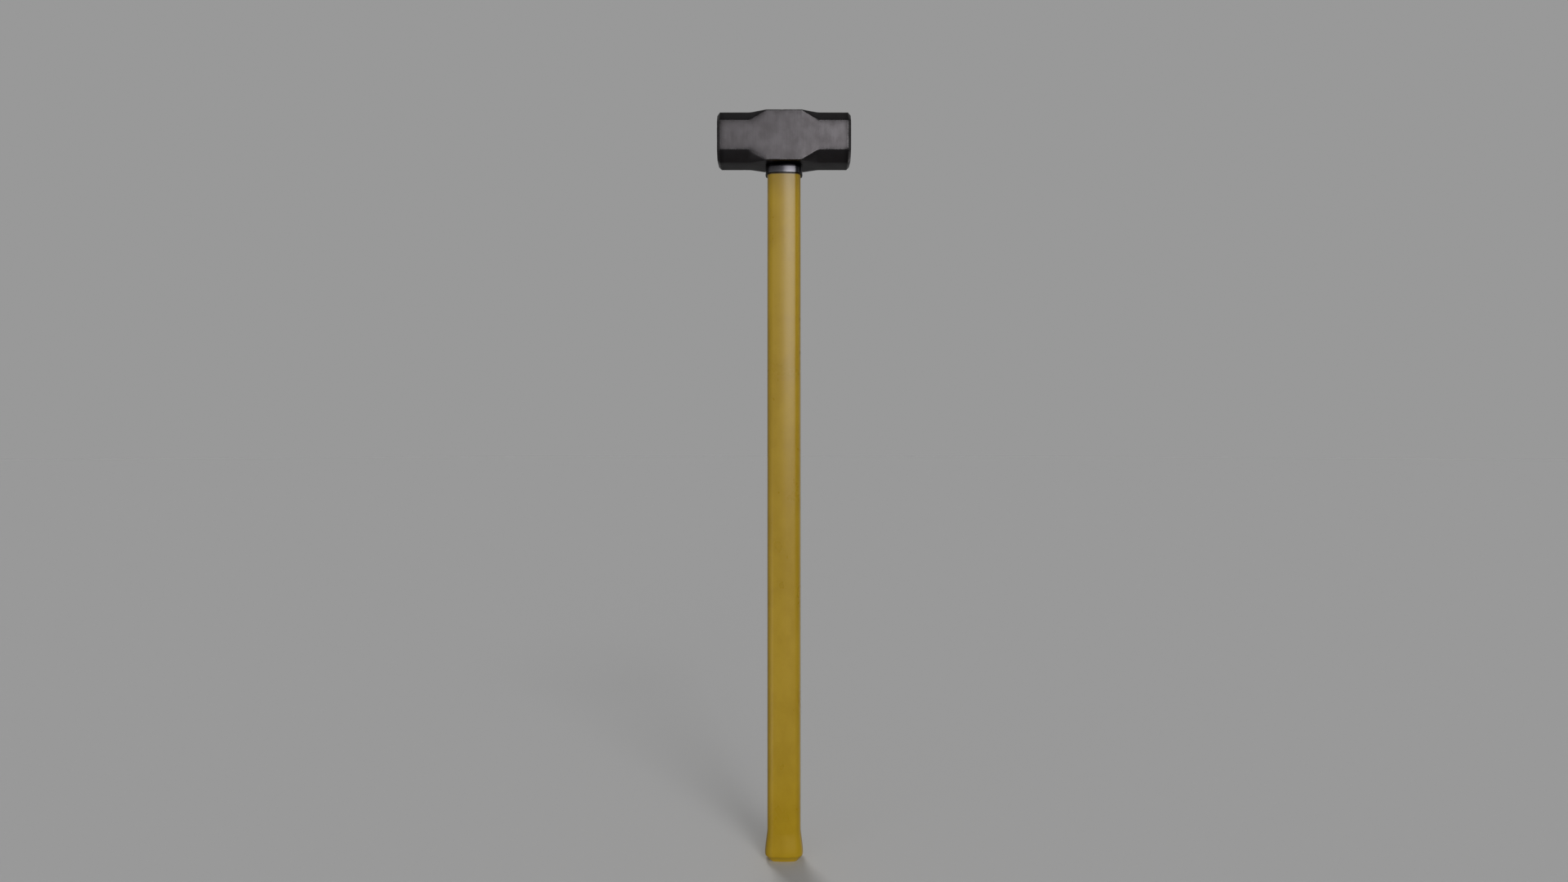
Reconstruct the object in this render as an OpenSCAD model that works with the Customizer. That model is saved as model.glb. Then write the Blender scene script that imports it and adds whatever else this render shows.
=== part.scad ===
// Double-faced sledgehammer on a composite handle.
// Millimetres. Origin: centre of the butt's base. +Z runs up the handle and +X runs along the head.

/* [Overall] */
// Height from the butt's base to the top of the head
overall_h = 914.4; // [600:0.1:1000]

/* [Head] */
// Length between the two striking faces
head_l = 163.3; // [140:0.1:200]
// Width across the flats of the head, also its height
head_w = 62.6; // [56:0.1:75]
// How far each long corner of the head is cut back
corner_cut = 13.1; // [8:0.1:15]
// Length of the uncut block round the eye
cheek_l = 38.8; // [34:0.1:46]
// Length over which the long corner cuts run out towards the cheek
run_out_l = 22; // [12:0.1:28]
// Bevel round each striking face
face_bevel = 3.3; // [1:0.1:6]

/* [Eye] */
// Length of the eye's opening, along the head
eye_l = 38; // [34:0.1:40]
// Width of the eye's opening, across the head
eye_w = 31; // [30:0.1:34]
// How far each wall of the eye closes in at mid height
eye_waist = 2; // [1:0.1:2.2]
// Depth of the resin below the top of the head
resin_recess = 1.2; // [0.5:0.1:4]

/* [Collar] */
// Height of the steel collar
collar_h = 10.8; // [6:0.1:20]
// Wall thickness of the steel collar
collar_wall = 2.3; // [1:0.1:3]
// Thickness of the rubber dam under the eye
washer_h = 2.5; // [1:0.1:5]

/* [Handle] */
// Handle size along the head
handle_l = 41; // [36:0.1:44]
// Handle size across the head
handle_w = 33.6; // [32:0.1:36]
// Radius of the handle's four long corners
handle_r = 9; // [7:0.1:12]
// Diameter of the fibreglass rod
core_d = 25.4; // [20:0.1:25.4]
// Thickness of the jacket's closed end below the rod
butt_wall = 22; // [12:1:60]

/* [Butt] */
// How far each side of the handle swells at the butt
swell = 2.9; // [1:0.1:5]
// Height of the widest part of the butt above its base
swell_low = 10; // [9:0.1:16]
// Height where the swell has run out into the plain handle
swell_top = 36; // [28:0.1:60]
// Rounding of the butt's lower edge
butt_round = 8; // [4:0.1:8]

/* [Hidden] */
$fn = 96;

// Extra length that lets a cutting shape pass right through.
over = 5;
head_bottom = overall_h - head_w;
head_half = head_w / 2;
flat_half = head_half - corner_cut;
run_out_start = cheek_l / 2;
face_x = head_l / 2;

// Distances of the handle's corner axes from its centre line.
corner_x = handle_l / 2 - handle_r;
corner_y = handle_w / 2 - handle_r;
jacket_top = head_bottom - washer_h;
collar_bottom = head_bottom - collar_h;
resin_top = overall_h - resin_recess;
// Gap between the rubber dam and the collar.
washer_gap = 0.15;

// Corner axes and wall arc of the eye.
eye_corner_y = 4;
eye_r = eye_w / 2 - eye_corner_y;
eye_corner_x = eye_l / 2 - eye_r;
eye_arc_r = (pow(head_half, 2) + pow(eye_waist, 2)) / (2 * eye_waist);

// The arc that carries the swell into the plain handle.
swell_r = handle_r + swell;
swell_run = swell_top - swell_low;
swell_arc_r = (pow(swell_run, 2) + pow(swell, 2)) / (2 * swell);

// A solid with a rounded rectangular plan. Its child is one outline, drawn from a corner axis outwards.
module rounded_sweep(axis_x, axis_y, z0, z1) {
    for (side_x = [0, 1])
        for (side_y = [0, 1])
            mirror([side_x, 0, 0])
            mirror([0, side_y, 0])
                translate([axis_x, axis_y, 0])
                rotate_extrude(angle = 90)
                children();
    for (side_y = [0, 1])
        mirror([0, side_y, 0])
            translate([-axis_x, axis_y, 0])
            rotate([90, 0, 90])
            linear_extrude(2 * axis_x)
            children();
    for (side_x = [0, 1])
        mirror([side_x, 0, 0])
            translate([axis_x, axis_y, 0])
            rotate([90, 0, 0])
            linear_extrude(2 * axis_y)
            children();
    translate([-axis_x, -axis_y, z0])
        cube([2 * axis_x, 2 * axis_y, z1 - z0]);
}

// Half of the eye's outline: an arc that is closest to the axis at mid height.
module eye_outline(z0, z1) {
    difference() {
        translate([0, z0])
            square([eye_r, z1 - z0]);
        translate([eye_r - eye_waist + eye_arc_r, head_bottom + head_half])
            circle(r = eye_arc_r, $fn = 720);
    }
}

// The jacket's outline: rounded base, swelled butt, plain handle.
module jacket_outline() {
    square([swell_r - butt_round, butt_round]);
    translate([swell_r - butt_round, butt_round])
        intersection() {
            circle(r = butt_round);
            translate([0, -butt_round])
                square([butt_round, butt_round]);
        }
    difference() {
        translate([0, butt_round])
            square([swell_r, swell_top - butt_round]);
        translate([handle_r + swell_arc_r, swell_top])
            circle(r = swell_arc_r, $fn = 720);
    }
    translate([0, swell_top])
        square([handle_r, jacket_top - swell_top]);
}

// Everything outside a plane that faces up and to the front at 45 degrees.
module corner_prism() {
    reach = head_w;
    rotate([45, 0, 0])
        translate([-head_l, -reach, 0])
        cube([2 * head_l, 2 * reach, reach]);
}

// Everything outside one sloping run-out plane between the cheek and the cut corner.
module run_out_prism() {
    slope = atan2(corner_cut / sqrt(2), run_out_l);
    reach = head_l;
    translate([run_out_start, 0, 0])
        rotate([45, 0, 0])
        rotate([0, slope, 0])
        translate([0, -reach, 0])
        cube([2 * reach, 2 * reach, reach]);
}

// The waste at one long corner, in one half of the head.
module corner_waste() {
    translate([0, -head_half, head_half])
        intersection() {
            run_out_prism();
            translate([0, corner_cut / 2, -corner_cut / 2])
                corner_prism();
        }
}

// The block with its eight faces, centred on the middle of the eye.
module head_block() {
    difference() {
        cube([head_l, head_w, head_w], center = true);
        for (end = [0, 1])
            for (corner = [0, 90, 180, 270])
                mirror([end, 0, 0])
                rotate([corner, 0, 0])
                corner_waste();
    }
}

// Everything outside a plane that leans in over the edge of a striking face.
module bevel_prism() {
    reach = head_l;
    translate([face_x - face_bevel, 0, head_half])
        rotate([0, 45, 0])
        translate([-reach, -reach, 0])
        cube([2 * reach, 2 * reach, reach]);
}

// The waste round both striking faces, one slice for each of the eight sides.
module end_bevels() {
    diagonal_out = (head_half + flat_half) / sqrt(2) - head_half;
    for (end = [0, 1])
        mirror([end, 0, 0])
        for (side = [0:7])
            rotate([45 * side, 0, 0])
            translate([0, 0, side % 2 == 0 ? 0 : diagonal_out])
            bevel_prism();
}

module eye_void() {
    rounded_sweep(eye_corner_x, eye_corner_y, head_bottom, overall_h)
        eye_outline(head_bottom, overall_h);
}

module hammer_head() {
    color("#3c3b3e")
        difference() {
            translate([0, 0, head_bottom + head_half])
                difference() {
                    head_block();
                    end_bevels();
                }
            eye_void();
        }
}

module steel_collar() {
    color("#8a8d94")
        translate([0, 0, collar_bottom])
        linear_extrude(collar_h)
        difference() {
            handle_plan(collar_wall);
            handle_plan(0);
        }
}

// The handle's plan, grown by the given distance.
module handle_plan(grow) {
    square([2 * (corner_x + handle_r + grow), 2 * corner_y], center = true);
    square([2 * corner_x, 2 * (corner_y + handle_r + grow)], center = true);
    for (side_x = [-1, 1])
        for (side_y = [-1, 1])
            translate([side_x * corner_x, side_y * corner_y])
            circle(r = handle_r + grow);
}

module handle_jacket() {
    color("#94771f")
        difference() {
            rounded_sweep(corner_x, corner_y, 0, jacket_top)
                jacket_outline();
            translate([0, 0, butt_wall])
                cylinder(d = core_d, h = jacket_top);
        }
}

module handle_core() {
    color("#c9b46a")
        translate([0, 0, butt_wall])
        cylinder(d = core_d, h = resin_top - butt_wall);
}

module eye_resin() {
    color("#2a2a2c")
        difference() {
            rounded_sweep(eye_corner_x, eye_corner_y, head_bottom, resin_top)
                eye_outline(head_bottom, resin_top);
            cylinder(d = core_d, h = overall_h + over);
        }
}

module seal_washer() {
    color("#1b1b1b")
        translate([0, 0, jacket_top])
        linear_extrude(washer_h)
        difference() {
            handle_plan(-washer_gap);
            circle(d = core_d);
        }
}

hammer_head();
steel_collar();
handle_jacket();
handle_core();
eye_resin();
seal_washer();
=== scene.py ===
"""Looks of the sledgehammer: detailed meshes, procedural materials, studio light and camera."""
import math

import bmesh
import bpy
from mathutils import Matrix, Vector, noise


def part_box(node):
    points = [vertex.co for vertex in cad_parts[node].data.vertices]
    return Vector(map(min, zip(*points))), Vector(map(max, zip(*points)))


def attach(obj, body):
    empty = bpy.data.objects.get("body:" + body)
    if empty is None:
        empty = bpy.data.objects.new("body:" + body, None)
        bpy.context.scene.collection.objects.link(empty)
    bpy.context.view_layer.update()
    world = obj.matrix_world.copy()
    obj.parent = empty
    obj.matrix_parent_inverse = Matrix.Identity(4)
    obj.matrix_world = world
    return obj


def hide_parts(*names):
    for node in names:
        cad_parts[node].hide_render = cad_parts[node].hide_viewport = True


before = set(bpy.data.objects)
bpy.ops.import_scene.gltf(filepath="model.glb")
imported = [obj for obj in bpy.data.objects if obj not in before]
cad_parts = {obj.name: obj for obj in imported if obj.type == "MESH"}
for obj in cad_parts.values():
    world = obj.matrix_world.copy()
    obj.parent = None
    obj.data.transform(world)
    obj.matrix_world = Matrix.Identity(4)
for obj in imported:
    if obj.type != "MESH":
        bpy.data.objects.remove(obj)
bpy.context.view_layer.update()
MM = 0.001

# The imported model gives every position. Details that its boxes can't give repeat the design's own sizes.
HEAD_LO, HEAD_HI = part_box("hammer_head")
COLLAR_LO, COLLAR_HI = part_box("steel_collar")
JACKET_LO, JACKET_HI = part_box("handle_jacket")
CORE_LO, CORE_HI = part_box("handle_core")
RESIN_LO, RESIN_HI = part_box("eye_resin")
WASHER_LO, WASHER_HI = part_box("seal_washer")

HEAD_HALF = (HEAD_HI.z - HEAD_LO.z) / 2
HEAD_MID = (HEAD_HI.z + HEAD_LO.z) / 2
FACE_X = HEAD_HI.x
CORNER_CUT = 13.1 * MM
CHEEK_END = 19.4 * MM
RUN_OUT_END = 41.4 * MM
FACE_BEVEL = 3.3 * MM
FACE_CROWN, FACE_DOME = 0.55 * MM, 0.5 * MM
COLLAR_WALL = 2.3 * MM
EYE_CORNER_X, EYE_CORNER_Y, EYE_R, EYE_WAIST = 7.5 * MM, 4 * MM, 11.5 * MM, 2 * MM
SWELL, SWELL_LOW, SWELL_TOP = 2.9 * MM, 11 * MM, 36 * MM

# EYE_RIM is the radius of the eye's rolled rim, and EYE_PATCH half the length of the faces filled in
# round it. SOFT_TURN is half the length of each turn in the corner cuts. Vertices closer than WELD join.
EYE_RIM, EYE_PATCH, SOFT_TURN, WELD = 1.0 * MM, 27 * MM, 3 * MM, 0.004 * MM

# The handle's outline, from the middle of its front face to the middle of its side, as arcs of
# (radius, first angle, last angle, steps). Only the radii's proportions count: the box gives the size.
OUTLINE_ARCS = ((75, 0, 10, 5), (7, 10, 30, 4), (10.5, 30, 60, 4), (7, 60, 84, 4), (79, 84, 90, 3))

# Wear at different places, from 0 for none to 1 for all that the material has.
LONG_EDGE_WEAR, FACE_RIM_WEAR, EYE_RIM_WEAR, COLLAR_EDGE_WEAR = 0.55, 0.9, 0.8, 0.9
# The butt's wear also carries painted bounce light on the jacket's lower edge.
BUTT_WEAR_AND_BOUNCE_LIGHT, BASE_WEAR = 0.75, 0.6


# The studio. A panel is its (azimuth, half width, lowest, highest, blur) in degrees, with its strength
# as a light and as a reflection. A sun is its name, azimuth, elevation, spread and strength.
FLOOR_RADIUS = 36
FLOOR_TONE = 0.62
AIR_SEEN = 0.318
AIR_LOW, AIR_HIGH = 0.1, 0.11
PANELS = [
    ((12, 9.5, 3, 32, 5), 3.7, 0.0),
    ((12, 9.5, 3, 26, 5), 0.0, 4.7),
    ((-2, 12, 3, 32, 8), 0.0, 0.3),
    ((-4, 46, -12, 26, 10), 0.8, 0.06),
    ((-80, 60, -12, 40, 20), 0.0, 0.2),
    ((-48, 22, -45, -4, 6), 0.0, 0.7),
    ((130, 16, -45, 6, 6), 0.0, 0.75),
    ((90, 14, 2, 34, 8), 0.0, 0.35),
    ((180, 28, 8, 40, 8), 0.6, 0.25),
]
SUNS = [("key_sun", 21, 37, 16, 0.45), ("back_sun", 195, 50, 16, 0.75)]
SUN_DISTANCE = 3
SENSOR_WIDTH, LENS = 36, 24.445
CAMERA_PLACE = (0, -1.3127, 0.5141)


# ---------------------------------------------------------------- mesh helpers

def smoothstep(low, high, value):
    """0 below low, 1 above high, and a smooth rise between them."""
    t = min(1.0, max(0.0, (value - low) / (high - low)))
    return t * t * (3 - 2 * t)


def rounded_path(points, radii, steps):
    """An open 2D path with an arc of each radius at its inner corners."""
    path = [Vector(points[0])]
    for before, corner, after, radius in zip(points, points[1:], points[2:], radii):
        corner = Vector(corner)
        if radius <= 0:
            path.append(corner)
            continue
        to_before = (Vector(before) - corner).normalized()
        to_after = (Vector(after) - corner).normalized()
        half = to_before.angle(to_after) / 2
        centre = corner + (to_before + to_after).normalized() * radius / math.sin(half)
        start = corner + to_before * radius / math.tan(half) - centre
        end = corner + to_after * radius / math.tan(half) - centre
        turn = math.pi - 2 * half
        for i in range(steps + 1):
            t = i / steps
            spoke = (start * math.sin((1 - t) * turn) + end * math.sin(t * turn)) / math.sin(turn)
            path.append(centre + spoke)
    path.append(Vector(points[-1]))
    return path


def spaced(low, high, step):
    """Evenly spaced numbers from low to high, both included, about one step apart."""
    count = max(1, round((high - low) / step))
    return [low + (high - low) * i / count for i in range(count + 1)]


def add_object(name, data):
    """A new object in the scene."""
    made = bpy.data.objects.new(name, data)
    bpy.context.scene.collection.objects.link(made)
    return made


def directions_round(count):
    """Evenly spaced flat directions all the way round."""
    angles = [2 * math.pi * i / count for i in range(count)]
    return [Vector((math.cos(angle), math.sin(angle))) for angle in angles]


class Builder:
    """Collects vertices and faces, with a wear value on every vertex."""

    def __init__(self):
        self.mesh = bmesh.new()
        self.wear = self.mesh.verts.layers.float.new("wear")

    def vert(self, position, wear=0.0):
        made = self.mesh.verts.new(position)
        made[self.wear] = wear
        return made

    def ring(self, positions, wear=0.0):
        return [self.vert(position, wear) for position in positions]

    def level(self, points, height, wear=0.0):
        """A ring of flat points at one height."""
        return self.ring([(point.x, point.y, height) for point in points], wear)

    def face(self, verts):
        distinct = list(dict.fromkeys(verts))
        if len(distinct) > 2:
            self.mesh.faces.new(distinct)

    def bridge(self, first, second):
        """A strip of quads between two rings with the same number of vertices."""
        count = len(first)
        for i in range(count):
            j = (i + 1) % count
            self.face([first[i], first[j], second[j], second[i]])

    def loft(self, rings):
        """A skin over rings with the same number of vertices."""
        for lower, upper in zip(rings, rings[1:]):
            self.bridge(lower, upper)

    def cap(self, ring, scales, wear=0.0, dome=Vector()):
        """Closes a ring with smaller and smaller copies of itself, which rise to a middle vertex."""
        middle = sum((v.co for v in ring), Vector()) / len(ring)
        outer = ring
        for scale in scales:
            rise = dome * (1 - scale * scale)
            inner = self.ring([middle + (v.co - middle) * scale + rise for v in ring], wear)
            self.bridge(outer, inner)
            outer = inner
        centre = self.vert(middle + dome, wear)
        for i, vert in enumerate(outer):
            self.face([vert, outer[(i + 1) % len(outer)], centre])

    def finish(self, name, body="root"):
        """The finished object: welded, facing outwards, smooth, riding on a body."""
        bmesh.ops.remove_doubles(self.mesh, verts=self.mesh.verts, dist=WELD)
        bmesh.ops.recalc_face_normals(self.mesh, faces=self.mesh.faces)
        for face in self.mesh.faces:
            face.smooth = True
        data = bpy.data.meshes.new(name)
        self.mesh.to_mesh(data)
        self.mesh.free()
        made = add_object(name, data)
        weighted = made.modifiers.new("even_normals", "WEIGHTED_NORMAL")
        weighted.mode = "FACE_AREA"
        weighted.weight = 80
        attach(made, body)
        return made


# ---------------------------------------------------------------- hammer head

def corner_cut_at(x):
    """How far the long corners are cut back at this distance from the eye, with soft turns."""
    slope = CORNER_CUT / (RUN_OUT_END - CHEEK_END)

    def ramp(distance):
        if distance <= -SOFT_TURN:
            return 0.0
        if distance >= SOFT_TURN:
            return distance
        return (distance + SOFT_TURN) ** 2 / (4 * SOFT_TURN)

    x = abs(x)
    return slope * (ramp(x - CHEEK_END) - ramp(x - RUN_OUT_END))


def edge_round_at(x, side):
    """The radius of the head's long edges, a little uneven as forged edges are."""
    usual, change, waves_per_metre, side_step = 1.6 * MM, 0.35 * MM, 70, 9.1
    return usual + change * noise.noise(Vector((x * waves_per_metre, side * side_step, 3.3)))


def head_section(x, inset, parts):
    """One closed section of the head as (y, z, wear) points, drawn quarter by quarter."""
    narrowest_cut = 0.3 * MM
    points = []
    half = HEAD_HALF - FACE_CROWN - inset
    diagonal = (2 * HEAD_HALF - corner_cut_at(x)) / math.sqrt(2) - FACE_CROWN - inset
    arc = parts["arc"]
    for quarter in range(4):
        radius = edge_round_at(x, quarter)
        inner = half - radius
        reach = inner - max(0.0, 2 * inner - math.sqrt(2) * (diagonal - radius))
        if inner - reach < narrowest_cut:
            reach = inner
        local = []
        for share in parts["flat"]:
            bulge = FACE_CROWN * (1 - share ** 4)
            local.append((half + bulge, share * reach, LONG_EDGE_WEAR if abs(share) == 1 else 0.0))
        for i in range(1, arc + 1):
            turn = math.radians(45) * i / arc
            wear = LONG_EDGE_WEAR + (1 - LONG_EDGE_WEAR) * math.sin(math.pi * i / arc)
            local.append((inner + radius * math.cos(turn), reach + radius * math.sin(turn), wear))
        start = Vector(local[-1][:2])
        end = Vector((reach + radius * math.sqrt(0.5), inner + radius * math.sqrt(0.5)))
        width = (end - start).length
        for share in parts["flat"][1:-1:2]:
            bulge = min(FACE_CROWN, 0.06 * width) * (1 - share ** 4) * math.sqrt(0.5)
            spot = start.lerp(end, (share + 1) / 2) + Vector((bulge, bulge))
            local.append((spot.x, spot.y, 0.6 * (1 - smoothstep(1 * MM, 4 * MM, width))))
        local.append((end.x, end.y, LONG_EDGE_WEAR))
        for i in range(1, arc):
            turn = math.radians(45) * (1 + i / arc)
            wear = LONG_EDGE_WEAR + (1 - LONG_EDGE_WEAR) * math.sin(math.pi * i / arc)
            local.append((reach + radius * math.cos(turn), inner + radius * math.sin(turn), wear))
        turn_cos, turn_sin = ((1, 0), (0, 1), (-1, 0), (0, -1))[quarter]
        for u, v, wear in local:
            points.append((u * turn_cos - v * turn_sin, u * turn_sin + v * turn_cos, wear))
    return points


def head_stations():
    """(x, inset, wear) along the head from the middle to the striking face."""
    clear = SOFT_TURN + 1.5 * MM
    plain = spaced(0, CHEEK_END - clear, 2.4 * MM)
    for turn in (CHEEK_END, RUN_OUT_END):
        plain += spaced(turn - SOFT_TURN, turn + SOFT_TURN, 1 * MM)
    plain += spaced(CHEEK_END + clear, RUN_OUT_END - clear, 2.2 * MM)
    plain += spaced(RUN_OUT_END + 5 * MM, FACE_X - FACE_BEVEL - 2.2 * MM, 3 * MM)
    stations = [(x, 0.0, 0.0) for x in sorted(plain)]
    rim = FACE_X - FACE_DOME
    corners = [(rim - FACE_BEVEL - 1.5 * MM, 0), (rim - FACE_BEVEL, 0), (rim, FACE_BEVEL)]
    corners += [(rim, FACE_BEVEL + 1.6 * MM)]
    end = rounded_path(corners, [1.0 * MM, 1.0 * MM], 4)
    for i, spot in enumerate(end):
        on_arc = 0 < i < len(end) - 1
        stations.append((spot.x, spot.y, FACE_RIM_WEAR if on_arc else 0.0))
    return stations


def eye_wall_spot(direction, radius):
    """Where a ray from the eye's middle meets its wall of this corner radius, as (foot, normal).

    The eye is a rectangle of corner centres, grown by the radius. The foot is the rectangle's spot
    nearest to the wall, and the ray's reach is found by halving.
    """
    low, high = 0.0, 40 * MM
    for _ in range(40):
        reach = (low + high) / 2
        spot = direction * reach
        foot = Vector((max(-EYE_CORNER_X, min(EYE_CORNER_X, spot.x)), 0))
        foot.y = max(-EYE_CORNER_Y, min(EYE_CORNER_Y, spot.y))
        if (spot - foot).length < radius:
            low = reach
        else:
            high = reach
    return foot, (spot - foot).normalized()


def eye_radius(height):
    """The eye's corner radius at a height measured from the middle of the head."""
    return EYE_R - EYE_WAIST * (1 - (height / HEAD_HALF) ** 2)


def build_head():
    """The forged head: a loft of eight-sided sections, with the eye let through top and bottom."""
    make = Builder()
    half_flat = [0, 0.18, 0.36, 0.53, 0.68, 0.8, 0.89, 0.95, 1]
    parts = {"flat": [-share for share in half_flat[:0:-1]] + half_flat, "arc": 4}
    half_stations = head_stations()
    stations = [(-x, inset, wear) for x, inset, wear in reversed(half_stations[1:])]
    stations += half_stations
    rings = []
    for x, inset, station_wear in stations:
        ring = []
        for y, z, wear in head_section(x, inset, parts):
            ring.append(make.vert((x, y, HEAD_MID + z), max(wear, station_wear)))
        rings.append(ring)
    per_quarter = len(rings[0]) // 4
    flat_count = len(parts["flat"])
    patch = [i for i, station in enumerate(stations) if abs(station[0]) < EYE_PATCH]
    first, last = patch[0], patch[-1]
    for i in range(len(rings) - 1):
        for k in range(len(rings[0])):
            quarter, place = divmod(k, per_quarter)
            in_flat = quarter in (1, 3) and place < flat_count - 1
            if in_flat and first <= i < last:
                continue
            j = (k + 1) % len(rings[0])
            make.face([rings[i][k], rings[i][j], rings[i + 1][j], rings[i + 1][k]])
    for ring, side in ((rings[0], -1), (rings[-1], 1)):
        make.cap(ring, (0.93, 0.78, 0.6, 0.42, 0.24, 0.1), dome=Vector((side * FACE_DOME, 0, 0)))
    walls = []
    for quarter, side in ((1, 1), (3, -1)):
        start = quarter * per_quarter
        low_edge = [rings[i][start] for i in range(first, last + 1)]
        high_edge = [rings[i][start + flat_count - 1] for i in range(first, last + 1)]
        first_end = [rings[first][start + n] for n in range(flat_count)]
        last_end = [rings[last][start + n] for n in range(flat_count)]
        loop = low_edge[:-1] + last_end[:-1] + high_edge[:0:-1] + first_end[:0:-1]
        walls.append(eye_patch(make, loop, side))
    join_eye_walls(make, walls, last - first)
    roughen_head(make)
    return make.finish("hammer_head_forged")


def crown_height(spot):
    """Half the head's height at this place on its crowned top, measured from its middle."""
    reach = HEAD_HALF - corner_cut_at(spot.x) - 1.3 * MM
    return HEAD_HALF - FACE_CROWN * min(1.0, abs(spot.y) / reach) ** 4


def eye_patch(make, loop, side):
    """Fills one face of the head round the eye, rolls its rim over and returns the wall's first ring."""
    spots = []
    for vert in loop:
        direction = Vector((vert.co.x, vert.co.y)).normalized()
        spots.append(eye_wall_spot(direction, EYE_R + EYE_RIM))
    outer = loop
    for share, wear in ((0.25, 0.0), (0.5, 0.0), (0.75, 0.0), (0.93, 0.0), (1.0, 0.6)):
        ring = []
        for vert, (foot, normal) in zip(loop, spots):
            edge = foot + normal * (EYE_R + EYE_RIM)
            flat = Vector((vert.co.x, vert.co.y)).lerp(edge, share)
            ring.append(make.vert((flat.x, flat.y, HEAD_MID + side * crown_height(flat)), wear))
        make.bridge(outer, ring)
        outer = ring
    steps = 4
    for i in range(1, steps + 1):
        turn = math.radians(90) * i / steps
        grow = EYE_RIM * (1 - math.sin(turn))
        drop = EYE_RIM * (1 - math.cos(turn)) + 0.02 * MM
        ring = []
        for foot, normal in spots:
            edge = foot + normal * (EYE_R + grow)
            ring.append(make.vert((edge.x, edge.y, HEAD_MID + side * (HEAD_HALF - drop)), EYE_RIM_WEAR))
        make.bridge(outer, ring)
        outer = ring
    return {"ring": outer, "spots": spots}


def join_eye_walls(make, walls, span):
    """The hourglass wall of the eye, from its top rim to its bottom rim, which runs the other way round."""
    top, bottom = walls
    count = len(top["ring"])
    matched = [bottom["ring"][(count // 2 + span - i) % count] for i in range(count)]
    rings = [top["ring"]]
    start = HEAD_HALF - EYE_RIM
    for height in spaced(-start, start, 6 * MM)[-2:0:-1]:
        wall = [foot + normal * eye_radius(height) for foot, normal in top["spots"]]
        rings.append(make.level(wall, HEAD_MID + height))
    make.loft(rings + [matched])


def roughen_head(make):
    """Slight hollows outside the eye and small nicks on the edges, always inwards."""
    middle = Vector((0, 0, HEAD_MID))
    eye_x, eye_y = EYE_CORNER_X + EYE_R, EYE_CORNER_Y + EYE_R
    bmesh.ops.remove_doubles(make.mesh, verts=make.mesh.verts, dist=WELD)
    bmesh.ops.recalc_face_normals(make.mesh, faces=make.mesh.faces)
    make.mesh.normal_update()
    for vert in make.mesh.verts:
        if max(abs(vert.co.x) / eye_x, abs(vert.co.y) / eye_y) < 1.02:
            continue
        spot = vert.co - middle
        broad = noise.noise(spot * 42) * 0.5 + 0.5
        fine = noise.noise(spot * 150 + Vector((7, 3, 1))) * 0.5 + 0.5
        depth = 0.1 * broad + 0.05 * fine
        depth += 0.55 * vert[make.wear] * max(0.0, noise.noise(spot * 230) - 0.25)
        vert.co -= vert.normal * depth * MM


# ---------------------------------------------------------------- handle and collar

def handle_plan():
    """The handle's outline as (point, outward normal) pairs: crowned faces joined by soft corners."""
    half_x = COLLAR_HI.x - COLLAR_WALL
    half_y = COLLAR_HI.y - COLLAR_WALL
    spot = Vector((0, 0))
    quarter = [(spot.copy(), 0.0)]
    for radius, start, end, steps in OUTLINE_ARCS:
        first = math.radians(start)
        for i in range(1, steps + 1):
            turn = math.radians(start + (end - start) * i / steps)
            rise = math.cos(turn) - math.cos(first)
            spot = spot + Vector((math.sin(turn) - math.sin(first), rise)) * radius
            first = turn
            quarter.append((spot.copy(), turn))
    width, depth = quarter[-1][0].x, -quarter[-1][0].y
    plan = []
    for point, turn in quarter:
        fitted = Vector((point.x * half_x / width, half_y + point.y * half_y / depth))
        plan.append((fitted, Vector((math.sin(turn), math.cos(turn)))))
    plan[-1][0].y = 0
    right = plan + [(Vector((p.x, -p.y)), Vector((n.x, -n.y))) for p, n in reversed(plan[:-1])]
    return right + [(Vector((-p.x, p.y)), Vector((-n.x, n.y))) for p, n in reversed(right[1:-1])]


def swell_at(height):
    """How far the handle stands out at this height above its base."""
    straight = 1 - min(1.0, max(0.0, (height - SWELL_LOW) / (SWELL_TOP - SWELL_LOW)))
    return SWELL * (0.65 * straight + 0.35 * (1 - smoothstep(SWELL_LOW, SWELL_TOP, height)))


def build_jacket():
    """The moulded jacket: flat-sided section, swelled butt with a rounded base, blind bore for the rod."""
    make = Builder()
    plan = handle_plan()
    base = [(9 * MM, 0), (7.4 * MM, 0), (0, 7.8 * MM), (0, 12 * MM)]
    rings = []
    for cut, height in rounded_path(base, [2.2 * MM, 2.6 * MM], 7)[1:-1]:
        spots = [point + normal * (swell_at(height) - cut) for point, normal in plan]
        rings.append(make.level(spots, height, BUTT_WEAR_AND_BOUNCE_LIGHT * smoothstep(8.5 * MM, 2 * MM, height)))
    heights = spaced(SWELL_LOW, SWELL_TOP, 2.5 * MM)
    heights += spaced(SWELL_TOP + 6 * MM, JACKET_HI.z - 22 * MM, 12 * MM)
    heights += spaced(JACKET_HI.z - 16 * MM, JACKET_HI.z, 2 * MM)
    for height in heights:
        spots = []
        for point, normal in plan:
            wander = 0.06 * MM * (noise.noise(Vector((point.x * 30, point.y * 30, height * 14))) - 0.6)
            spots.append(point + normal * (swell_at(height) + wander))
        rings.append(make.level(spots, height))
    make.loft(rings)
    make.cap(rings[0], (0.8, 0.55, 0.3), BASE_WEAR)
    bore = [point.normalized() * CORE_HI.x for point, _ in plan]
    bore_rings = [make.level(bore, z) for z in reversed(spaced(CORE_LO.z, JACKET_HI.z, 12 * MM))]
    make.loft(rings[-1:] + bore_rings)
    make.cap(bore_rings[-1], (0.8, 0.55, 0.3))
    return make.finish("handle_jacket_moulded")


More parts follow.
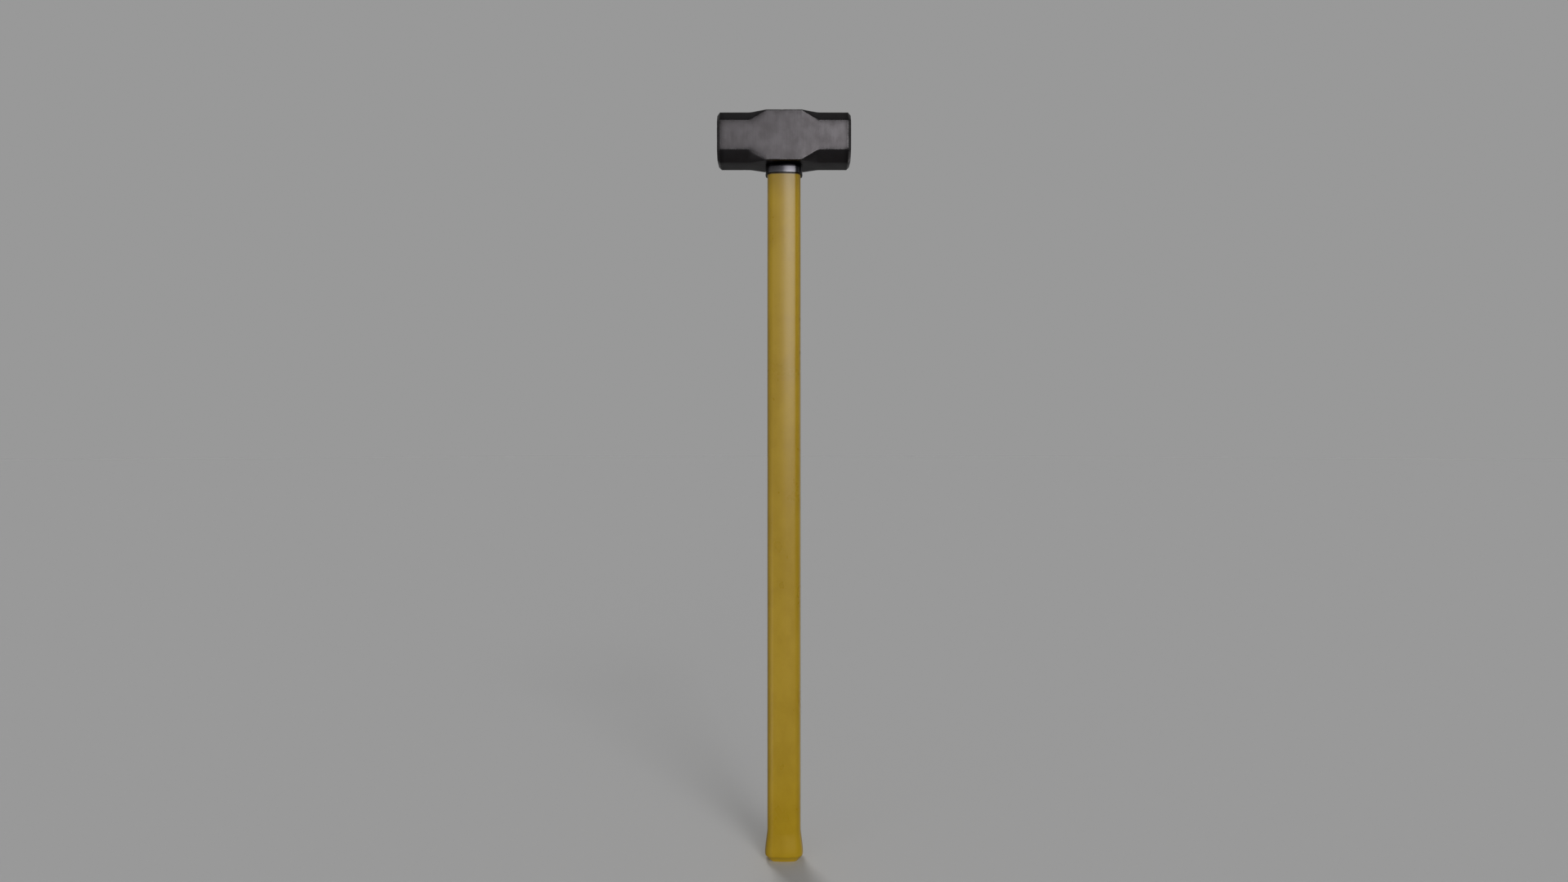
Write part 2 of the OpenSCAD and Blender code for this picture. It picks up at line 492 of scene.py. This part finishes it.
def sweep_band(name, plan, corners, radii, wear):
    """A closed band: a rounded profile of (offset, height) corners carried round an outline."""
    make = Builder()
    rings = []
    for offset, height, edge in closed_profile(corners, radii):
        spots = [point + normal * offset for point, normal in plan]
        rings.append(make.level(spots, height, wear * edge))
    make.loft(rings + rings[:1])
    return make.finish(name)


def closed_profile(corners, radii):
    """A closed profile with rounded corners, as (offset, height, 1 on a corner), for a band."""
    long_side = 5 * MM
    profile = []
    count = len(corners)
    for i, corner in enumerate(corners):
        before, after = corners[i - 1], corners[(i + 1) % count]
        arc = rounded_path([before, corner, after], [radii[i]], 5)[1:-1]
        profile += [(p.x, p.y, 1.0) for p in arc]
        side = Vector(after) - Vector(corner)
        if side.length > long_side:
            for share in (0.2, 0.5, 0.8):
                spot = Vector(corner) + side * share
                profile.append((spot.x, spot.y, 0.0))
    return profile


def build_collar():
    """The polished ferrule round the top of the handle, pressed up against the head."""
    gap, low, high = 0.02 * MM, COLLAR_LO.z, COLLAR_HI.z
    corners = [(gap, low), (COLLAR_WALL, low), (COLLAR_WALL, high), (gap, high)]
    radii = [0.35 * MM, 0.45 * MM, 0.5 * MM, 0.3 * MM]
    return sweep_band("steel_collar_ring", handle_plan(), corners, radii, COLLAR_EDGE_WEAR)


def build_washer():
    """The rubber dam between the jacket and the head, inside the collar."""
    make = Builder()
    plan = handle_plan()
    inner, outer, edge = -4 * MM, -0.15 * MM, 0.3 * MM
    low, high = WASHER_LO.z, WASHER_HI.z
    rings = []
    for spot in rounded_path([(inner, low), (outer, low), (outer, high), (inner, high)], [edge, edge], 4):
        rings.append(make.level([point + normal * spot.x for point, normal in plan], spot.y))
    hole = [point.normalized() * CORE_HI.x for point, _ in plan]
    for height in (high, low):
        rings.append(make.level(hole, height))
    make.loft(rings + rings[:1])
    return make.finish("seal_washer_rubber")


# ---------------------------------------------------------------- core and resin

def build_core():
    """The fibreglass rod, with slightly broken edges at both ends."""
    make = Builder()
    radius, edge = CORE_HI.x, 0.5 * MM
    lip = radius - 1.5 * MM
    corners = [(lip, CORE_LO.z), (radius, CORE_LO.z), (radius, CORE_HI.z), (lip, CORE_HI.z)]
    profile = rounded_path(corners, [edge, edge], 4)
    split = len(profile) // 2
    along = [Vector((radius, z)) for z in spaced(CORE_LO.z + 8 * MM, CORE_HI.z - 8 * MM, 60 * MM)]
    profile = profile[:split] + along + profile[split:]
    around = directions_round(72)
    rings = [make.level([direction * spot.x for direction in around], spot.y) for spot in profile]
    make.loft(rings)
    make.cap(rings[0], (0.8, 0.5, 0.2))
    make.cap(rings[-1], (0.9, 0.7, 0.5, 0.3, 0.12))
    return make.finish("handle_core_rod")


def build_resin():
    """The potting in the eye, with a meniscus that climbs the wall and the rod a little."""
    make = Builder()
    bite = 0.04 * MM
    around = directions_round(96)
    spots = [eye_wall_spot(direction, EYE_R) for direction in around]
    heights = spaced(RESIN_LO.z + 0.2 * MM, RESIN_HI.z - 0.2 * MM, 6 * MM)
    rings = []
    for height in heights:
        size = eye_radius(height - HEAD_MID) + bite
        rings.append(make.level([foot + normal * size for foot, normal in spots], height))
    top_size = eye_radius(RESIN_HI.z - HEAD_MID) + bite
    for share in (0.0, 0.06, 0.14, 0.3, 0.5, 0.7, 0.86, 0.95, 1.0):
        ring = []
        for direction, (foot, normal) in zip(around, spots):
            wall = foot + normal * top_size
            rod = direction * CORE_HI.x
            spot = wall.lerp(rod, share)
            gap = (wall - rod).length
            sag = min(1.1 * MM, 0.22 * gap) * (1 - (2 * share - 1) ** 4)
            ripple = 0.12 * MM * noise.noise(Vector((spot.x * 160, spot.y * 160, 5.5)))
            ring.append((spot.x, spot.y, RESIN_HI.z - sag - abs(ripple)))
        rings.append(make.ring(ring))
    rings.append(make.level([direction * CORE_HI.x for direction in around], heights[0]))
    make.loft(rings + rings[:1])
    return make.finish("eye_resin_potting")


# ---------------------------------------------------------------- material helpers

def add_node(tree, kind, inputs=None, **settings):
    """A new node with its settings made and its inputs set or linked."""
    made = tree.nodes.new(kind)
    for key, value in settings.items():
        setattr(made, key, value)
    for key, value in (inputs or {}).items():
        if isinstance(value, bpy.types.NodeSocket):
            tree.links.new(value, made.inputs[key])
        else:
            made.inputs[key].default_value = value
    return made


def new_material(name, settings):
    """A material with one Principled shader whose plain values are set on its own sockets."""
    material = bpy.data.materials.new(name)
    material.use_nodes = True
    tree = material.node_tree
    tree.nodes.clear()
    shader = add_node(tree, "ShaderNodeBsdfPrincipled", settings)
    output = add_node(tree, "ShaderNodeOutputMaterial")
    tree.links.new(shader.outputs[0], output.inputs["Surface"])
    return material, tree, shader


def stretched_noise(tree, scale, detail=3.0, roughness=0.5, offset=0.0):
    """Noise over the object's own coordinates, with its own scale along each axis, in cells per metre."""
    place = add_node(tree, "ShaderNodeTexCoord").outputs["Object"]
    scaled = add_node(tree, "ShaderNodeMapping", {"Vector": place, "Scale": scale})
    scaled.inputs["Location"].default_value = (offset, offset * 0.7, offset * 0.3)
    values = {"Vector": scaled.outputs[0], "Scale": 1.0, "Detail": detail, "Roughness": roughness}
    return add_node(tree, "ShaderNodeTexNoise", values).outputs["Fac"]


def remap(tree, value, low, high, to_low=0.0, to_high=1.0):
    """value carried from one range to another, smoothly and clamped."""
    made = add_node(tree, "ShaderNodeMapRange", {"Value": value}, interpolation_type="SMOOTHSTEP")
    for key, number in (("From Min", low), ("From Max", high), ("To Min", to_low), ("To Max", to_high)):
        made.inputs[key].default_value = number
    return made.outputs["Result"]


def calculate(tree, operation, *values):
    """One Math node."""
    return add_node(tree, "ShaderNodeMath", dict(enumerate(values)), operation=operation).outputs[0]


def blend_value(tree, share, first, second):
    """first turned into second by share."""
    return add_node(tree, "ShaderNodeMix", {0: share, 2: first, 3: second}, data_type="FLOAT").outputs[0]


def blend_colour(tree, share, first, second):
    """first turned into second by share."""
    made = add_node(tree, "ShaderNodeMix", data_type="RGBA")
    for socket, value in ((made.inputs[0], share), (made.inputs[6], first), (made.inputs[7], second)):
        if isinstance(value, bpy.types.NodeSocket):
            tree.links.new(value, socket)
        elif isinstance(value, tuple):
            socket.default_value = (*value, 1.0)
        else:
            socket.default_value = value
    return made.outputs[2]


def add_bump(tree, shader, layers):
    """Stacks (height, distance in metres, strength) layers of bump on the shader's normal."""
    normal = None
    for height, distance, strength in layers:
        values = {"Height": height, "Distance": distance, "Strength": strength}
        bump = add_node(tree, "ShaderNodeBump", values)
        if normal is not None:
            tree.links.new(normal, bump.inputs["Normal"])
        normal = bump.outputs[0]
    tree.links.new(normal, shader.inputs["Normal"])


def wear_value(tree):
    """The wear that the mesh carries on its vertices."""
    return add_node(tree, "ShaderNodeAttribute", attribute_name="wear").outputs["Fac"]


def place_value(tree, axis):
    """The place along one of the frame's axes, in metres."""
    place = add_node(tree, "ShaderNodeTexCoord").outputs["Object"]
    return add_node(tree, "ShaderNodeSeparateXYZ", {"Vector": place}).outputs[axis]


# ---------------------------------------------------------------- materials

def forged_steel():
    """Dark satin forged steel: mottled scale, vertical grinding streaks, rubbed edges, painted shade that
    darkens the ends.
    """
    material, tree, shader = new_material("forged_steel", {"Metallic": 1.0})
    mottle = stretched_noise(tree, (60, 60, 60), 4.0, 0.55)
    streaks = stretched_noise(tree, (420, 420, 34), 3.0, 0.6, 4.0)
    fine = stretched_noise(tree, (1900, 1900, 160), 2.0, 0.5, 9.0)
    pits = stretched_noise(tree, (900, 900, 900), 2.0, 0.5, 2.0)
    tone = blend_value(tree, 0.3, mottle, streaks)
    lighter = remap(tree, tone, 0.34, 0.66)
    colour = blend_colour(tree, lighter, (0.084, 0.0775, 0.0815), (0.1, 0.0935, 0.099))
    dark_spots = remap(tree, pits, 0.62, 0.78)
    colour = blend_colour(tree, calculate(tree, "MULTIPLY", dark_spots, 0.4), colour, (0.045, 0.041, 0.042))
    ragged = remap(tree, stretched_noise(tree, (260, 260, 260), 3.0, 0.6, 6.0), 0.32, 0.62)
    rubbed = calculate(tree, "MULTIPLY", wear_value(tree), ragged)
    colour = blend_colour(tree, calculate(tree, "MULTIPLY", rubbed, 0.4), colour, (0.2, 0.19, 0.195))
    # Painted shade: the cheeks darken over their last 11 mm before each striking face, stopping about a
    # millimetre short of the face itself.
    from_eye = calculate(tree, "ABSOLUTE", place_value(tree, "X"))
    ends = remap(tree, from_eye, FACE_X - 11.5 * MM, FACE_X - 4 * MM, 0.0, 0.6)
    off_face = remap(tree, from_eye, FACE_X - 1.3 * MM, FACE_X - 0.8 * MM, 1.0, 0.0)
    colour = blend_colour(tree, calculate(tree, "MULTIPLY", ends, off_face), colour, (0.03, 0.028, 0.029))
    tree.links.new(colour, shader.inputs["Base Color"])
    rough = remap(tree, tone, 0.3, 0.7, 0.37, 0.32)
    rough = calculate(tree, "SUBTRACT", rough, calculate(tree, "MULTIPLY", rubbed, 0.1))
    tree.links.new(rough, shader.inputs["Roughness"])
    broad_bumps = [(mottle, 0.36 * MM, 0.25), (streaks, 0.08 * MM, 0.25)]
    add_bump(tree, shader, broad_bumps + [(fine, 0.05 * MM, 0.3), (pits, 0.08 * MM, 0.3)])
    return material


def polished_steel():
    """Polished dark steel with hair lines round it, painted shade that darkens it towards the head, a
    painted dark reflection of the head's underside along its top, and painted shade at its lower rim.
    """
    material, tree, shader = new_material("polished_steel", {"Metallic": 1.0})
    lines = stretched_noise(tree, (60, 60, 5200), 3.0, 0.6)
    smear = stretched_noise(tree, (140, 140, 260), 3.0, 0.5, 3.0)
    lighter = remap(tree, smear, 0.35, 0.7)
    colour = blend_colour(tree, lighter, (0.088, 0.085, 0.095), (0.106, 0.103, 0.112))
    rubbed = calculate(tree, "MULTIPLY", wear_value(tree), 0.3)
    colour = blend_colour(tree, rubbed, colour, (0.22, 0.22, 0.23))
    height = place_value(tree, "Z")
    # Painted shade: the colour darkens upwards towards the head, standing in for the head's shade and dark
    # reflection.
    painted_shade_towards_head = remap(tree, height, COLLAR_LO.z + 2 * MM, COLLAR_HI.z - 1.5 * MM, 0.0, 0.5)
    colour = blend_colour(tree, painted_shade_towards_head, colour, (0.02, 0.02, 0.022))
    # Painted reflection and shade: a nearly black band along the top stands in for the head's dark
    # underside mirrored there, and a thin black band at the lower rim is painted shade.
    painted_dark_top_band = remap(tree, height, COLLAR_HI.z - 3.4 * MM, COLLAR_HI.z - 2.8 * MM)
    painted_low_rim_shade = remap(tree, height, COLLAR_LO.z + 0.2 * MM, COLLAR_LO.z + 0.5 * MM, 1.0, 0.0)
    colour = blend_colour(tree, calculate(tree, "ADD", painted_dark_top_band, painted_low_rim_shade), colour, (0.011, 0.01, 0.012))
    tree.links.new(colour, shader.inputs["Base Color"])
    rough = remap(tree, smear, 0.3, 0.7, 0.19, 0.23)
    rough = calculate(tree, "ADD", rough, remap(tree, lines, 0.35, 0.65, 0.0, 0.03))
    tree.links.new(rough, shader.inputs["Roughness"])
    add_bump(tree, shader, [(lines, 0.004 * MM, 0.25)])
    return material


def yellow_jacket():
    """Semi-gloss ochre moulding: faint blotches, orange peel, painted shade near the head and a painted
    shadow under the collar, a worn butt edge lightened with painted bounce light, and a duller butt.
    """
    material, tree, shader = new_material("yellow_jacket", {"IOR": 1.58})
    blotch = stretched_noise(tree, (38, 38, 22), 4.0, 0.55)
    speck = stretched_noise(tree, (520, 520, 380), 2.0, 0.5, 5.0)
    peel = stretched_noise(tree, (330, 330, 260), 2.0, 0.45, 8.0)
    colour = blend_colour(tree, remap(tree, blotch, 0.34, 0.66), (0.435, 0.27, 0.008), (0.49, 0.31, 0.012))
    colour = blend_colour(tree, remap(tree, speck, 0.62, 0.82, 0.0, 0.2), colour, (0.36, 0.21, 0.012))
    height = place_value(tree, "Z")
    # Painted shade: the jacket darkens towards the head, broken up by the blotches, standing in for the
    # head's shade.
    shaded = remap(tree, height, JACKET_HI.z - 45 * MM, JACKET_HI.z - 8 * MM, 0.0, 0.45)
    painted_shade_blotched = calculate(tree, "MULTIPLY", shaded, remap(tree, blotch, 0.25, 0.6))
    colour = blend_colour(tree, painted_shade_blotched, colour, (0.2, 0.125, 0.02))
    # Painted shadow: a dark band just under the collar stands in for the shadow the collar casts on the
    # jacket.
    painted_collar_shadow = remap(tree, height, COLLAR_LO.z - 2 * MM, COLLAR_LO.z - 0.5 * MM, 0.0, 0.9)
    colour = blend_colour(tree, painted_collar_shadow, colour, (0.03, 0.018, 0.008))
    scuffs = remap(tree, stretched_noise(tree, (300, 300, 500), 3.0, 0.6, 1.0), 0.45, 0.62)
    scuffed = calculate(tree, "MULTIPLY", wear_value(tree), scuffs)
    colour = blend_colour(tree, calculate(tree, "MULTIPLY", scuffed, 0.35), colour, (0.62, 0.43, 0.06))
    # Real wear and painted light: the worn butt edge is painted far lighter than the moulding, partly as
    # scuffing and partly standing in for bounce light from the floor.
    colour = blend_colour(tree, wear_value(tree), colour, (0.8, 0.53, 0.012))
    tree.links.new(colour, shader.inputs["Base Color"])
    gloss = remap(tree, height, 15 * MM, 160 * MM, 0.2, 0.5)
    tree.links.new(gloss, shader.inputs["Specular IOR Level"])
    rough = remap(tree, blotch, 0.3, 0.7, 0.27, 0.32)
    rough = calculate(tree, "ADD", rough, calculate(tree, "MULTIPLY", scuffed, 0.25))
    tree.links.new(rough, shader.inputs["Roughness"])
    add_bump(tree, shader, [(blotch, 0.6 * MM, 0.12), (peel, 0.08 * MM, 0.3), (speck, 0.03 * MM, 0.3)])
    return material


def glass_fibre():
    """The sawn end of a pultruded rod: a mass of pale fibre ends in amber resin."""
    material, tree, shader = new_material("glass_fibre", {"IOR": 1.52})
    place = add_node(tree, "ShaderNodeTexCoord").outputs["Object"]
    scaled = add_node(tree, "ShaderNodeMapping", {"Vector": place, "Scale": (1500, 1500, 40)})
    cells = add_node(tree, "ShaderNodeTexVoronoi", {"Vector": scaled.outputs[0], "Scale": 1.0})
    dots = remap(tree, cells.outputs["Distance"], 0.2, 0.6)
    patch = stretched_noise(tree, (220, 220, 40), 3.0, 0.5)
    colour = blend_colour(tree, dots, (0.62, 0.5, 0.24), (0.36, 0.24, 0.06))
    colour = blend_colour(tree, remap(tree, patch, 0.4, 0.7, 0.0, 0.5), colour, (0.25, 0.17, 0.06))
    saw = stretched_noise(tree, (90, 1600, 90), 2.0, 0.5, 3.0)
    tree.links.new(colour, shader.inputs["Base Color"])
    tree.links.new(remap(tree, patch, 0.3, 0.7, 0.5, 0.7), shader.inputs["Roughness"])
    add_bump(tree, shader, [(saw, 0.1 * MM, 0.4), (cells.outputs["Distance"], 0.06 * MM, 0.4)])
    return material


def dark_resin():
    """Cast black epoxy: glossy, with dust in it and a few small bubbles."""
    material, tree, shader = new_material("dark_resin", {"IOR": 1.55})
    cloud = stretched_noise(tree, (120, 120, 120), 3.0, 0.55)
    place = add_node(tree, "ShaderNodeTexCoord").outputs["Object"]
    values = {"Vector": place, "Scale": 330.0}
    bubbles = add_node(tree, "ShaderNodeTexVoronoi", values).outputs["Distance"]
    pocks = remap(tree, bubbles, 0.06, 0.2, 0.0, 1.0)
    colour = blend_colour(tree, remap(tree, cloud, 0.35, 0.7), (0.016, 0.016, 0.018), (0.04, 0.038, 0.038))
    tree.links.new(colour, shader.inputs["Base Color"])
    tree.links.new(remap(tree, cloud, 0.3, 0.7, 0.14, 0.3), shader.inputs["Roughness"])
    add_bump(tree, shader, [(cloud, 0.4 * MM, 0.25), (pocks, 0.3 * MM, 0.5)])
    return material


def black_rubber():
    """Matt moulded rubber."""
    material, tree, shader = new_material("black_rubber", {"IOR": 1.5})
    bloom = stretched_noise(tree, (150, 150, 150), 3.0, 0.6)
    grain = stretched_noise(tree, (1200, 1200, 1200), 2.0, 0.5, 2.0)
    colour = blend_colour(tree, remap(tree, bloom, 0.35, 0.7), (0.012, 0.012, 0.012), (0.03, 0.03, 0.031))
    tree.links.new(colour, shader.inputs["Base Color"])
    tree.links.new(remap(tree, bloom, 0.3, 0.7, 0.65, 0.85), shader.inputs["Roughness"])
    add_bump(tree, shader, [(grain, 0.1 * MM, 0.4)])
    return material


def studio_paper():
    """Plain pale studio paper for the floor."""
    material, tree, shader = new_material("studio_paper", {"IOR": 1.4, "Specular IOR Level": 0.0})
    tooth = stretched_noise(tree, (900, 900, 900), 2.0, 0.5)
    colour = blend_colour(tree, tooth, (FLOOR_TONE,) * 3, (FLOOR_TONE * 1.03,) * 3)
    tree.links.new(colour, shader.inputs["Base Color"])
    shader.inputs["Roughness"].default_value = 0.95
    return material


# ---------------------------------------------------------------- stage, light and camera

def build_floor(material):
    """A round pale floor, so wide that it meets the air at the horizon from every side."""
    make = Builder()
    around = directions_round(96)
    radii = (0.5, 1, 2, 4, 8, 16, FLOOR_RADIUS)
    rings = [make.level([direction * radius for direction in around], 0.0) for radius in radii]
    make.loft(rings)
    make.cap(rings[0], (0.5,))
    for face in make.mesh.faces:
        face.normal_update()
        if face.normal.z < 0:
            face.normal_flip()
    data = bpy.data.meshes.new("studio_floor")
    make.mesh.to_mesh(data)
    make.mesh.free()
    floor = add_object("studio_floor", data)
    data.materials.append(material)
    floor.visible_glossy = False


def towards(azimuth, elevation):
    """A direction. Azimuth 0 is in front of the object, and grows towards its right."""
    a, e = math.radians(azimuth), math.radians(elevation)
    return Vector((math.sin(a) * math.cos(e), -math.cos(a) * math.cos(e), math.sin(e)))


def add_sun(name, azimuth, elevation, spread, strength):
    """A distant soft light, so wide that its shadows have soft edges."""
    light = bpy.data.lights.new(name, "SUN")
    light.angle = math.radians(spread)
    light.energy = strength
    made = add_object(name, light)
    made.visible_glossy = False
    made.location = towards(azimuth, elevation) * SUN_DISTANCE
    made.rotation_mode = "QUATERNION"
    made.rotation_quaternion = (-towards(azimuth, elevation)).to_track_quat("-Z", "Y")


def panel_mask(tree, azimuth, elevation, centre, half, low, high, blur):
    """1 in the directions that a distant soft panel covers, and 0 outside it."""
    turn = calculate(tree, "WRAP", calculate(tree, "SUBTRACT", azimuth, centre), 180.0, -180.0)
    aside = calculate(tree, "ABSOLUTE", turn)
    across = remap(tree, aside, half - blur, half + blur, 1.0, 0.0)
    above = remap(tree, elevation, low - blur, low + blur)
    below = remap(tree, elevation, high - blur, high + blur, 1.0, 0.0)
    return calculate(tree, "MULTIPLY", across, calculate(tree, "MULTIPLY", above, below))


def build_air():
    """The studio round the object: dim, with soft panels that its surfaces mirror."""
    world = bpy.data.worlds.new("studio_air")
    world.use_nodes = True
    tree = world.node_tree
    tree.nodes.clear()
    direction = add_node(tree, "ShaderNodeTexCoord").outputs["Generated"]
    axes = add_node(tree, "ShaderNodeSeparateXYZ", {"Vector": direction}).outputs
    azimuth = calculate(tree, "ARCTAN2", axes["X"], calculate(tree, "MULTIPLY", axes["Y"], -1.0))
    azimuth = calculate(tree, "MULTIPLY", azimuth, math.degrees(1))
    elevation = calculate(tree, "MULTIPLY", calculate(tree, "ARCSINE", axes["Z"]), math.degrees(1))
    lit = mirrored = remap(tree, elevation, 10, 60, AIR_LOW, AIR_HIGH)
    for shape, light, reflection in PANELS:
        mask = panel_mask(tree, azimuth, elevation, *shape)
        lit = calculate(tree, "ADD", lit, calculate(tree, "MULTIPLY", mask, light))
        mirrored = calculate(tree, "ADD", mirrored, calculate(tree, "MULTIPLY", mask, reflection))
    path = add_node(tree, "ShaderNodeLightPath").outputs
    total = blend_value(tree, path["Is Glossy Ray"], lit, mirrored)
    total = blend_value(tree, path["Is Camera Ray"], total, AIR_SEEN)
    background = add_node(tree, "ShaderNodeBackground", {"Strength": total})
    background.inputs["Color"].default_value = (1, 1, 1, 1)
    output = add_node(tree, "ShaderNodeOutputWorld")
    tree.links.new(background.outputs[0], output.inputs["Surface"])
    bpy.context.scene.world = world


def light_scene():
    """A soft sun from the front right, a stronger one from behind, and the dim air."""
    for sun in SUNS:
        add_sun(*sun)
    build_air()


def add_camera():
    """The photograph's view: level, in front of the object, a little above half its height."""
    camera = add_object("camera", bpy.data.cameras.new("camera"))
    camera.data.sensor_width = SENSOR_WIDTH
    camera.data.lens = LENS
    camera.data.clip_start = 0.05
    camera.location = CAMERA_PLACE
    camera.rotation_euler = (math.radians(90), 0, 0)
    bpy.context.scene.camera = camera


# ---------------------------------------------------------------- the scene

PIECES = [
    (build_head, forged_steel, "hammer_head", "forged_steel"),
    (build_collar, polished_steel, "steel_collar", "polished_steel"),
    (build_jacket, yellow_jacket, "handle_jacket", "yellow_jacket"),
    (build_core, glass_fibre, "handle_core", "glass_fibre"),
    (build_resin, dark_resin, "eye_resin", "dark_resin"),
    (build_washer, black_rubber, "seal_washer", "black_rubber"),
]

for build, make_material, node_name, slot_name in PIECES:
    piece = build()
    piece.data.materials.append(make_material())
    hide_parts(node_name)

build_floor(studio_paper())
light_scene()
add_camera()
bpy.context.scene.view_settings.view_transform = "Standard"
